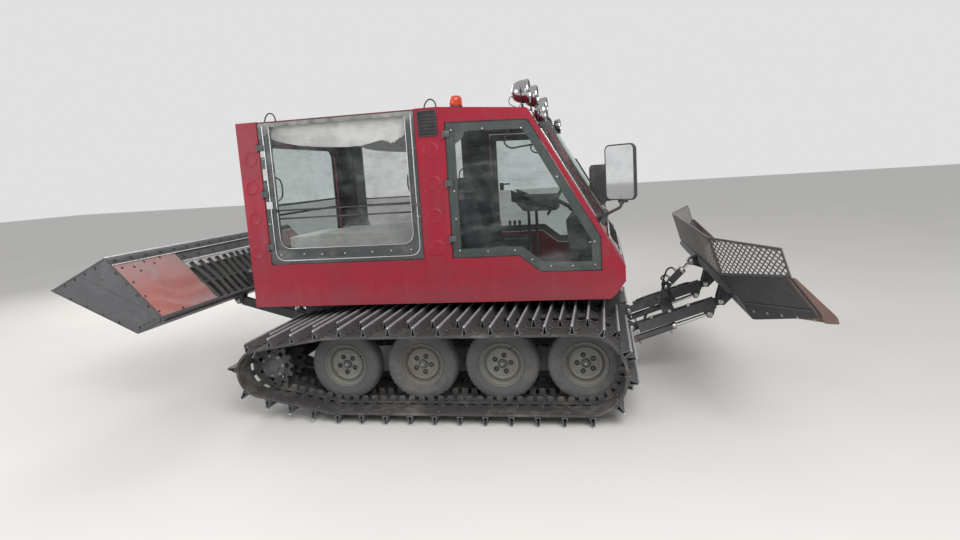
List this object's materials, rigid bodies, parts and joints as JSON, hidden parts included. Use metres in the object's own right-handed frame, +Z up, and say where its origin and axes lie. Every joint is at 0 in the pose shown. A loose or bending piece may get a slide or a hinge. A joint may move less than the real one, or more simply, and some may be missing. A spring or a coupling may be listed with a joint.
{
  "type": "tracked snow groomer",
  "caption": "Tracked snow groomer with a boxy glazed cab, hinged side doors, a winged front blade on lift and pitch cylinders and a raised smoothing board behind.",
  "frame": {"origin": "middle of the whole machine's length and width, on the ground under the tracks", "axes": "+X towards the front blade, +Y to the machine's left, +Z up"},
  "size_m": [5.9896, 4.3134, 2.658],
  "materials": {
    "body_paint": "faded red paint with dirt",
    "board_paint": "faded red paint, scratched",
    "frame_black": "worn black paint",
    "chassis_paint": "black paint, dusty and rusty at edges",
    "blade_steel": "scraped dark paint with rust",
    "screen_metal": "dull punched sheet",
    "cast": "rough grey iron",
    "track_rubber": "worn belts with metal cleats",
    "tyre": "dusty black rubber",
    "rim_paint": "pale paint with rust",
    "glass": "clear, slightly dirty",
    "trim_pale": "pale grey sheet",
    "seat_cloth": "dark cloth",
    "dash_plastic": "dark grained plastic",
    "mirror_case": "black plastic",
    "mirror": "silvered glass",
    "lamp_metal": "bright bowl",
    "beacon_amber": "amber lens",
    "rod_chrome": "bright ground rod"
  },
  "bodies": {
    "machine": {"chassis_tub": "chassis_paint", "engine_block": "cast", "final_drives": "chassis_paint", "axles": "chassis_paint", "track_right": "track_rubber", "track_left": "track_rubber", "tyres": "tyre", "rims": "rim_paint", "sprockets": "chassis_paint", "side_wall_right": "body_paint", "side_wall_left": "body_paint", "rear_wall": "body_paint", "roof": "body_paint", "front_panel": "body_paint", "cab_floor": "chassis_paint", "fixed_glass": "glass", "windscreen_frame": "frame_black", "engine_cover": "trim_pale", "seats": "seat_cloth", "dashboard": "dash_plastic", "mirrors": "mirror_case", "mirror_glass": "mirror", "roof_lamps": "lamp_metal", "beacon": "beacon_amber"},
    "cab_door_right_body": {"cab_door_right": "frame_black", "cab_glass_right": "glass"},
    "cab_door_left_body": {"cab_door_left": "frame_black", "cab_glass_left": "glass"},
    "rear_door_right_body": {"rear_door_right": "frame_black", "rear_glass_right": "glass"},
    "rear_door_left_body": {"rear_door_left": "frame_black", "rear_glass_left": "glass"},
    "push_arms": {"push_frame": "chassis_paint"},
    "front_lift_barrels": {"blade_lift_barrels": "chassis_paint"},
    "front_lift_rods": {"blade_lift_rods": "rod_chrome"},
    "front_pitch_barrel": {"pitch_barrel": "chassis_paint"},
    "front_pitch_rod": {"pitch_rod": "rod_chrome"},
    "front_blade": {"blade": "blade_steel", "blade_screen": "screen_metal"},
    "lift_arms": {"rear_arms": "chassis_paint"},
    "rear_lift_barrels": {"board_lift_barrels": "chassis_paint"},
    "rear_lift_rods": {"board_lift_rods": "rod_chrome"},
    "levelling_link": {"top_link": "chassis_paint"},
    "smoothing_board": {"board_frame": "blade_steel", "board_cover": "board_paint"}
  },
  "joints": [
    {"name": "cab_door_right_hinge", "type": "hinge", "parent": "machine", "child": "cab_door_right_body", "pos_m": [0.45815, -1.088, 1.86], "axis": [0, 0, -1], "range_deg": [0, 85]},
    {"name": "cab_door_left_hinge", "type": "hinge", "parent": "machine", "child": "cab_door_left_body", "pos_m": [0.45815, 1.088, 1.86], "axis": [0, 0, 1], "range_deg": [0, 85]},
    {"name": "rear_door_right_hinge", "type": "hinge", "parent": "machine", "child": "rear_door_right_body", "pos_m": [-1.19385, -1.088, 1.86], "axis": [0, 0, -1], "range_deg": [0, 90]},
    {"name": "rear_door_left_hinge", "type": "hinge", "parent": "machine", "child": "rear_door_left_body", "pos_m": [-1.19385, 1.088, 1.86], "axis": [0, 0, 1], "range_deg": [0, 90]},
    {"name": "blade_lift", "type": "hinge", "parent": "machine", "child": "push_arms", "pos_m": [1.93415, 0, 0.44], "axis": [0, -1, 0], "range_deg": [-40, 0]},
    {"name": "blade_lift_barrel_swing", "type": "hinge", "parent": "machine", "child": "front_lift_barrels", "pos_m": [1.91415, 0, 0.33], "axis": [0, -1, 0], "range_deg": [-38.6, 0]},
    {"name": "blade_lift_rod_slide", "type": "slide", "parent": "front_lift_barrels", "child": "front_lift_rods", "axis": [0.9424, 0, 0.3346], "range_m": [-0.0746, 0]},
    {"name": "blade_pitch", "type": "hinge", "parent": "push_arms", "child": "front_blade", "pos_m": [2.69415, 0, 0.69], "axis": [0, 1, 0], "range_deg": [-10, 15]},
    {"name": "pitch_barrel_swing", "type": "hinge", "parent": "push_arms", "child": "front_pitch_barrel", "pos_m": [2.27915, 0, 0.744], "axis": [0, 1, 0], "range_deg": [-2.8, 4.2]},
    {"name": "pitch_rod_slide", "type": "slide", "parent": "front_pitch_barrel", "child": "front_pitch_rod", "axis": [0.6904, 0, 0.7234], "range_m": [-0.0586, 0.0878]},
    {"name": "board_lift", "type": "hinge", "parent": "machine", "child": "lift_arms", "pos_m": [-1.25585, 0, 0.56], "axis": [0, 1, 0], "range_deg": [-50, 0]},
    {"name": "board_level", "type": "hinge", "parent": "lift_arms", "child": "smoothing_board", "pos_m": [-2.01585, 0, 0.785], "axis": [0, 1, 0], "range_deg": [0, 25.1]},
    {"name": "board_barrel_swing", "type": "hinge", "parent": "machine", "child": "rear_lift_barrels", "pos_m": [-1.26085, 0, 0.48], "axis": [0, 1, 0], "range_deg": [-47.3, 0]},
    {"name": "board_rod_slide", "type": "slide", "parent": "rear_lift_barrels", "child": "rear_lift_rods", "axis": [-0.7535, 0, 0.6574], "range_m": [-0.0648, 0]},
    {"name": "top_link_swing", "type": "hinge", "parent": "machine", "child": "levelling_link", "pos_m": [-1.25585, 0, 0.68], "axis": [0, 1, 0], "range_deg": [-48.2, 0]}
  ],
  "couplings": [
    {"joint": "blade_lift_barrel_swing", "follows": "blade_lift", "ratio": 0.9623},
    {"joint": "blade_lift_rod_slide", "follows": "blade_lift", "m_per_rad": 0.10653},
    {"joint": "pitch_barrel_swing", "follows": "blade_pitch", "ratio": 0.27783},
    {"joint": "pitch_rod_slide", "follows": "blade_pitch", "m_per_rad": 0.3348},
    {"joint": "board_level", "follows": "board_lift", "ratio": -0.5},
    {"joint": "board_barrel_swing", "follows": "board_lift", "ratio": 0.94406},
    {"joint": "board_rod_slide", "follows": "board_lift", "m_per_rad": 0.074089},
    {"joint": "top_link_swing", "follows": "board_lift", "ratio": 0.9619}
  ]
}
